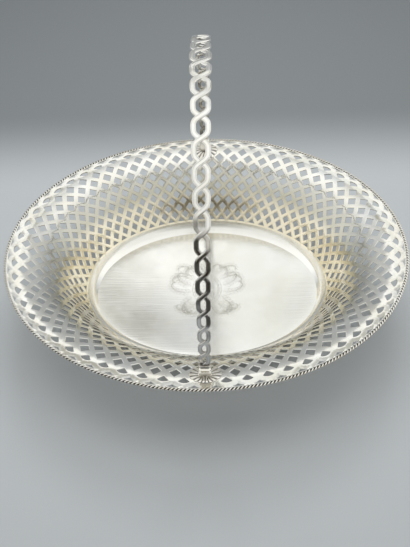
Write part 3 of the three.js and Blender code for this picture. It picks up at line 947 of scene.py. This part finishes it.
def branch(x, y, heading, length, curl, leaf):
    """Cuts of an acanthus branch: a stem that winds up at its end, and pointed leaves that
    spring from both sides of it and grow smaller towards the end."""
    steps = BRANCH_STEPS
    stem = [(x, y, heading)]
    for k in range(steps):
        heading += curl * (BRANCH_CURLS[0] + BRANCH_CURLS[1] * (k / steps) ** 2) / steps
        stride = length / steps * (BRANCH_STRIDES[0] - BRANCH_STRIDES[1] * k / steps)
        x, y = x + stride * math.cos(heading), y + stride * math.sin(heading)
        stem.append((x, y, heading))
    engrave([point[:2] for point in stem[::2]], 1.3 * ENGRAVING_LINE)
    engrave(
        [(x + 0.8 * math.sin(a), y - 0.8 * math.cos(a)) for x, y, a in stem[1:-4:2]],
        0.7 * ENGRAVING_LINE,
    )
    for k in range(1, steps - 2):
        x, y, heading = stem[k]
        side = 1 if k % 2 else -1
        size = leaf * (BRANCH_LEAVES[0] - BRANCH_LEAVES[1] * k / steps)
        edge = []
        for out, turn in LEAF:
            angle = heading + side * turn
            edge.append((x + size * out * math.cos(angle), y + size * out * math.sin(angle)))
        engrave([(x, y)] + edge, 0.8 * ENGRAVING_LINE)
        engrave([(x, y), edge[2]], 0.6 * ENGRAVING_LINE)


def round_oval(out, angle):
    """A place round the blank oval, at a distance out from it."""
    half_width, half_height = BLANK_OVAL
    return (
        (half_width + out) * math.cos(angle),
        OVAL_CENTRE + (half_height + out) * math.sin(angle),
    )


for out in FRAME_LINES:
    engrave([round_oval(out, math.pi / 2 - k * math.pi / 8) for k in range(9)])
for k in range(FRAME_TICKS):
    angle = math.pi / 2 - (k + 0.5) * math.pi / FRAME_TICKS
    engrave([round_oval(out, angle + turn) for out, turn in FRAME_TICK])
for x, y, heading, length, curl, leaf in BRANCHES:
    branch(x, y, heading, length, curl, leaf)
for k in range(SHADING_LINES):
    rise = SHADING_TOP - SHADING_PITCH * k
    reach = 0.75 * math.sqrt(max(4.0, BLANK_OVAL[0] ** 2 - 0.6 * rise * rise))
    engrave([(0.4, OVAL_CENTRE + rise), (reach, OVAL_CENTRE + rise - 0.8)], SHADING_WIDTH)
finish_piece(engraving, "engraved_cartouche", "basket", [], engraved_line)


# Scallop shells. One under each hinge, cast with ribs that fan out from the rim over the
# top of the wall, soldered on, with tarnish between the ribs.
PIVOT_INSET = 13.5
PIVOT_HEIGHT = frame["joints"][0]["pos_m"][2] / MM
PIVOT_SPAN = RIM_HALF_WIDTH - PIVOT_INSET
SHELL_RIBS = 17
SHELL_HALF_WIDTH = 13.4
SHELL_REACH = 12.4
SHELL_HEEL = 7.6
SHELL_LOBE_DEPTH = 1.0
SHELL_RISE = 1.15
SHELL_RIB_DEPTH = 0.75
# The shell from its back over the edge to the middle, as shares of its reach and its rise,
# and recess. Ribs start where it has risen by a share of SHELL_RIBS_FROM.
SHELL_SECTION = (
    (0.1, -0.02, 0.4),
    (1.0, -0.02, 0.9),
    (1.0, 0.18, 0.8),
    (0.985, 0.42, 0.2),
    (0.93, 0.66, 0.0),
    (0.8, 0.9, 0.0),
    (0.62, 1.0, 0.0),
    (0.42, 0.9, 0.15),
    (0.26, 0.62, 0.35),
    (0.1, 0.4, 0.6),
)
SHELL_RIBS_FROM = 0.3
SHELL_STEPS = 8 * SHELL_RIBS

hinge_silver = polished_silver(
    "cast_hinge_silver",
    clean="#F2F0EB",
    tarnish="#CDC2A6",
    tarnish_share=0.4,
    roughness=0.16,
    cloud_mm=7.0,
    wave_mm=3.0,
    wave_depth=0.03,
    dark="#332D26",
)


def wall_height(inset):
    """Height of the middle of the wall's sheet at a distance in from the rim."""
    return WELL_TOP + np.interp(inset, wall_section[:, 0], wall_section[:, 1])


def shell_point(share, dome, sink, angle, side):
    """A point of one side's shell and its recess, at a place of the section and an angle
    round the middle of the fan, measured from straight inwards."""
    reach = SHELL_HEEL + (SHELL_REACH - SHELL_HEEL) * min(1, 1 + math.cos(angle))
    ridge = abs(math.cos(0.5 * SHELL_RIBS * angle))
    radius = share * (reach - SHELL_LOBE_DEPTH * (1 - ridge) * share)
    rise = SHELL_RISE * dome
    if dome > SHELL_RIBS_FROM:
        groove = (1 - ridge) ** 1.6
        rise -= SHELL_RIB_DEPTH * groove * dome
        sink = max(sink, groove)
    inset = PIVOT_INSET + radius * math.cos(angle)
    across = SHELL_HALF_WIDTH / SHELL_REACH * radius * math.sin(angle)
    height = wall_height(inset) + WALL_THICKNESS / 2 + rise
    return (-side * across, side * (RIM_HALF_WIDTH - inset), height, sink)


def close_form(form, reach=1e-3):
    """Welds points that meet, and fills the ends that are left open."""
    bmesh.ops.remove_doubles(form, verts=form.verts, dist=reach)
    bmesh.ops.holes_fill(form, edges=[e for e in form.edges if e.is_boundary], sides=0)


for name, side in (("front", -1), ("back", 1)):
    shell = new_form()
    angles = [2 * math.pi * i / SHELL_STEPS for i in range(SHELL_STEPS)]
    skin(shell, [[shell_point(*place, angle, side) for angle in angles] for place in SHELL_SECTION])
    close_form(shell)
    finish_piece(
        shell,
        "scallop_" + name,
        "basket",
        ["scallop_shell_" + name],
        hinge_silver,
        sharp=60,
    )


# Hinge ears and pins. Each eye of the handle turns between a round lug inside and a shield-
# shaped plate outside, on a riveted pin; all are silver, cast and soldered to the shell.
EYE_THICKNESS = 3.4
EAR_CLEARANCE = 0.3
EAR_THICKNESS = 1.8
EAR_BEVEL = 0.25
LUG_RADIUS = 4.4
LUG_SIDE = ((4.6, -5.4), (4.4, -2.5))  # its right side, from the shell up to the round
# The shield from the middle of its top down to its point.
SHIELD = mirrored(
    [(0.0, 4.7), (1.9, 4.6), (3.6, 4.2), (4.9, 3.3), (5.5, 1.9), (5.2, 0.2), (4.3, -1.3)]
    + [(3.0, -2.6), (1.9, -3.7), (1.0, -4.7), (0.0, -5.2)]
)
SHIELD_RIM = 0.5
SHIELD_SINK = 0.35
SHIELD_TARNISH = 0.55
PIN_RADIUS = 1.3
# The pin's riveted ends, as radius and height over the face of the ear.
OUTER_HEAD = ((0.02, 0.32), (0.9, 0.25), (1.6, -0.02), (PIN_RADIUS, -0.1))
INNER_HEAD = ((PIN_RADIUS, -0.1), (1.6, -0.34), (0.9, -0.1), (0.02, -0.02))
TURNED_SIDES = 24


def circle_points(radius, sides):
    """Points of a circle, counterclockwise from the right."""
    angles = [2 * math.pi * k / sides for k in range(sides)]
    return [(radius * math.cos(angle), radius * math.sin(angle)) for angle in angles]


def plate_form(outline, inner_face, outer_face, bevel, rim=0.0):
    """A plate in the plane of the swing, cut to an outline drawn from the pivot, with its
    outer edge rounded over and, where a rim is given, its outer face sunk inside the rim."""
    form = new_form()
    circle = bmesh.ops.create_circle(form, segments=len(outline), radius=1.0, cap_ends=True)
    for vert, (x, z) in zip(circle["verts"], outline):
        vert.co = (x, inner_face, z)
    cast = bmesh.ops.extrude_face_region(form, geom=form.faces[:])
    moved = [v for v in cast["geom"] if isinstance(v, bmesh.types.BMVert)]
    bmesh.ops.translate(form, vec=(0, outer_face - inner_face, 0), verts=moved)
    bmesh.ops.bevel(
        form,
        geom=[e for f in cast["geom"] if isinstance(f, bmesh.types.BMFace) for e in f.edges],
        offset=bevel,
        offset_type="OFFSET",
        affect="EDGES",
        segments=3,
        profile=0.5,
        material=-1,
        clamp_overlap=True,
    )
    if rim:
        face = max(form.faces, key=lambda f: f.calc_center_median().y * np.sign(outer_face))
        bmesh.ops.inset_region(form, faces=[face], thickness=rim, depth=0.0)
        bmesh.ops.inset_region(form, faces=[face], thickness=0.3 * rim, depth=-SHIELD_SINK)
        recess = form.verts.layers.float["recess"]
        for vert in face.verts:
            vert[recess] = SHIELD_TARNISH
    return form


def move_to_pivot(form, side):
    """Moves a form that was made round the origin to the pivot of one side."""
    bmesh.ops.translate(form, vec=(0, side * PIVOT_SPAN, PIVOT_HEIGHT), verts=form.verts)


lug_round = circle_points(LUG_RADIUS, TURNED_SIDES)[: TURNED_SIDES // 2 + 1]
lug = [*LUG_SIDE, *lug_round, *[(-x, z) for x, z in reversed(LUG_SIDE)]]
ear_face = EYE_THICKNESS / 2 + EAR_CLEARANCE
ear_back = ear_face + EAR_THICKNESS
for name, side in (("front", -1), ("back", 1)):
    for place, outline, out, rim in (
        ("inner", lug, -side, 0.0),
        ("outer", SHIELD, side, SHIELD_RIM),
    ):
        plate = plate_form(outline, out * ear_face, out * ear_back, EAR_BEVEL, rim)
        move_to_pivot(plate, side)
        finish_piece(
            plate,
            "ear_" + name + "_" + place,
            "basket",
            ["hinge_ear_" + name + "_" + place],
            hinge_silver,
            sharp=50,
        )

rivet_profile = [(radius, -ear_back - rise) for radius, rise in OUTER_HEAD]
rivet_profile += [(radius, ear_back + rise) for radius, rise in INNER_HEAD]
for name, side in (("front", -1), ("back", 1)):
    rivet = new_form()
    loops = []
    for radius, inwards in rivet_profile:
        loops.append([(x, -side * inwards, z) for x, z in circle_points(radius, TURNED_SIDES)])
    skin(rivet, loops)
    move_to_pivot(rivet, side)
    close_form(rivet)
    finish_piece(
        rivet,
        "pin_" + name,
        "basket",
        ["hinge_pin_" + name],
        hinge_silver,
        sharp=50,
    )


# Handle ends. A round eye on the pin and, above it, a waisted collar that both strands are
# soldered into, cast in silver; the handle stands a little off upright by its own friction.
HANDLE_LEAN = math.radians(0.8)
EYE_RADIUS = 4.4
EYE_SIDES = 32
EYE_BEVEL = 0.3
# The collar from below, as height over the pivot, half width, half depth and recess. The
# recess at its top is a painted shadow line under the strands.
COLLAR = (
    (1.5, 3.9, 1.6, 0.6),
    (3.0, 4.2, 1.66, 0.3),
    (4.6, 4.3, 1.7, 0.0),
    (5.7, 4.3, 1.9, 0.4),
    (6.05, 4.7, 3.3, 0.2),
    (6.25, 4.8, 3.6, 0.0),
    (6.45, 4.75, 3.6, 0.0),
    (6.75, 4.55, 3.1, 0.0),
    (7.1, 4.35, 2.6, 0.0),
    (7.6, 4.15, 2.1, 0.0),
    (8.3, 4.05, 1.85, 0.0),
    (8.8, 4.2, 1.95, 0.2),
    (9.2, 4.4, 2.4, 0.0),
    (9.6, 4.45, 2.5, 0.0),
    (10.0, 4.3, 2.3, 0.3),
    (10.6, 3.4, 1.6, 0.9),
)
COLLAR_SQUARENESS = 0.45  # power that turns its round section into a rounded oblong


def squared(value):
    """A circle's cosine or sine, pushed out towards a rounded oblong."""
    return math.copysign(abs(value) ** COLLAR_SQUARENESS, value)


def stand_handle(form):
    """Turns a form of the handle about the pins to the angle at which the handle stands."""
    lean = Matrix.Rotation(HANDLE_LEAN, 3, "Y")
    bmesh.ops.rotate(form, verts=form.verts, cent=(0, 0, PIVOT_HEIGHT), matrix=lean)


for name, side in (("front", -1), ("back", 1)):
    end = plate_form(
        circle_points(EYE_RADIUS, EYE_SIDES), -EYE_THICKNESS / 2, EYE_THICKNESS / 2, EYE_BEVEL
    )
    loops = []
    for height, half_width, half_depth, sink in COLLAR:
        loops.append(
            [
                (half_width * squared(x), half_depth * squared(y), height, sink)
                for x, y in circle_points(1.0, TURNED_SIDES)
            ]
        )
    skin(end, loops)
    close_form(end)
    move_to_pivot(end, side)
    stand_handle(end)
    finish_piece(
        end,
        "handle_collar_" + name,
        "handle",
        ["handle_end_" + name],
        hinge_silver,
        sharp=40,
    )


# Handle. Two flat silver wires with rounded edges and a line cut along each side, wound over
# and under each other into a chain of rings and soldered where they cross. The chain is
# widest at the top of an elliptical arch.
ARCH_HEIGHT = 180.5
HANDLE_RINGS = 33
STRAND_START = 11.0  # along the arch from the pivot, inside the collar
# Sizes that change along the handle: at its top, at its ends, and the power of the taper.
RING_WIDTH = (15.8, 9.2, 0.7)
RING_PITCH = (15.0, 10.9, 7.5)
STRAND_WIDTH = (4.0, 3.3, 1.0)
RING_ROUNDNESS = 0.12
RING_PITCH_DRIFT = 0.03  # share by which the front rings are longer than the average
STRAND_THICKNESS = 1.8
STRAND_LIFT = 0.36
STEPS_PER_RING = 14
# How much darker the handle is made at its ends, and how fast that fades away from them.
END_DARKENING = (0.4, 4)
# Section of a strand, across and out, as shares of half its width and half its thickness,
# with the recess there.
STRAND_SECTION = mirrored(
    [
        (0.0, 1.0, 0.0),
        (0.5, 0.99, 0.0),
        (0.58, 0.84, 0.5),
        (0.66, 0.97, 0.0),
        (0.86, 0.9, 0.0),
        (0.97, 0.6, 0.0),
        (1.0, 0.0, 0.1),
        (0.94, -0.7, 0.4),
        (0.6, -1.0, 0.4),
        (0.0, -1.0, 0.4),
    ]
)
ARCH_STEPS = 4000  # arc length steps behind the spacing of the rings
DIRECTION_STEP = 5e-4  # share of the handle over which a strand's direction is taken

handle_silver = polished_silver(
    "handle_wire_silver",
    clean="#F6F6F4",
    tarnish="#D6CCB2",
    tarnish_share=0.35,
    roughness=0.15,
    cloud_mm=12.0,
    wave_mm=5.0,
    wave_depth=0.03,
)


def tapered(sizes, share):
    """A size on the handle from its value at the top, at the ends, and the taper's power."""
    at_top, at_end, power = sizes
    return at_top + (at_end - at_top) * abs(2 * share - 1) ** power


arch_angles = np.linspace(np.pi, 0, ARCH_STEPS + 1)
arch_line = np.stack(
    [PIVOT_SPAN * np.cos(arch_angles), PIVOT_HEIGHT + ARCH_HEIGHT * np.sin(arch_angles)], axis=1
)
arch_run = np.concatenate([[0], np.cumsum(np.hypot(*np.diff(arch_line, axis=0).T))])
arch_slope = np.gradient(arch_line, arch_run, axis=0)
shares = np.linspace(0, 1, ARCH_STEPS + 1)
pitch = tapered(RING_PITCH, shares) * (1 + RING_PITCH_DRIFT * (1 - 2 * shares))
phase = np.concatenate([[0], np.cumsum(1 / pitch[:-1])])
phase *= math.pi * HANDLE_RINGS / phase[-1]


def strand_place(share, hand):
    """Middle of a strand, the handle's outward direction there, and the strand's width."""
    run = STRAND_START + share * (arch_run[-1] - 2 * STRAND_START)
    at = [np.interp(run, arch_run, arch_line[:, k]) for k in (0, 1)]
    slope = [np.interp(run, arch_run, arch_slope[:, k]) for k in (0, 1)]
    turn = np.interp(share, shares, phase)
    width = tapered(STRAND_WIDTH, share)
    swing = (tapered(RING_WIDTH, share) - width) / 2
    wind = (math.sin(turn) + RING_ROUNDNESS * math.sin(3 * turn)) / (1 - RING_ROUNDNESS)
    out = Vector((0, -slope[1], slope[0]))
    lift = hand * STRAND_LIFT * math.cos(turn)
    middle = Vector((hand * swing * wind, at[0], at[1])) + out * lift
    return middle, out, width


for name, hand in (("rising", 1), ("falling", -1)):
    steps = HANDLE_RINGS * STEPS_PER_RING
    loops = []
    for i in range(steps + 1):
        share = float(np.interp(math.pi * i / STEPS_PER_RING, phase, shares))
        middle, out, width = strand_place(share, hand)
        ahead = strand_place(min(share + DIRECTION_STEP, 1), hand)[0]
        behind = strand_place(max(share - DIRECTION_STEP, 0), hand)[0]
        run = (ahead - behind).normalized()
        across = run.cross(out).normalized()
        face = across.cross(run)
        if i in (0, steps):
            across = Vector((1, 0, 0))
        darker_near_ends = END_DARKENING[0] * abs(2 * share - 1) ** END_DARKENING[1]
        loop = []
        for a, b, sink in STRAND_SECTION:
            point = middle + across * (a * width / 2) + face * (b * STRAND_THICKNESS / 2)
            loop.append((*point, min(1.0, sink + darker_near_ends)))
        loops.append(loop)
    strand = new_form()
    skin(strand, loops)
    close_form(strand, 1e-4)
    stand_handle(strand)
    finish_piece(
        strand,
        "strand_" + name,
        "handle",
        ["handle_strand_" + name],
        handle_silver,
        sharp=40,
    )
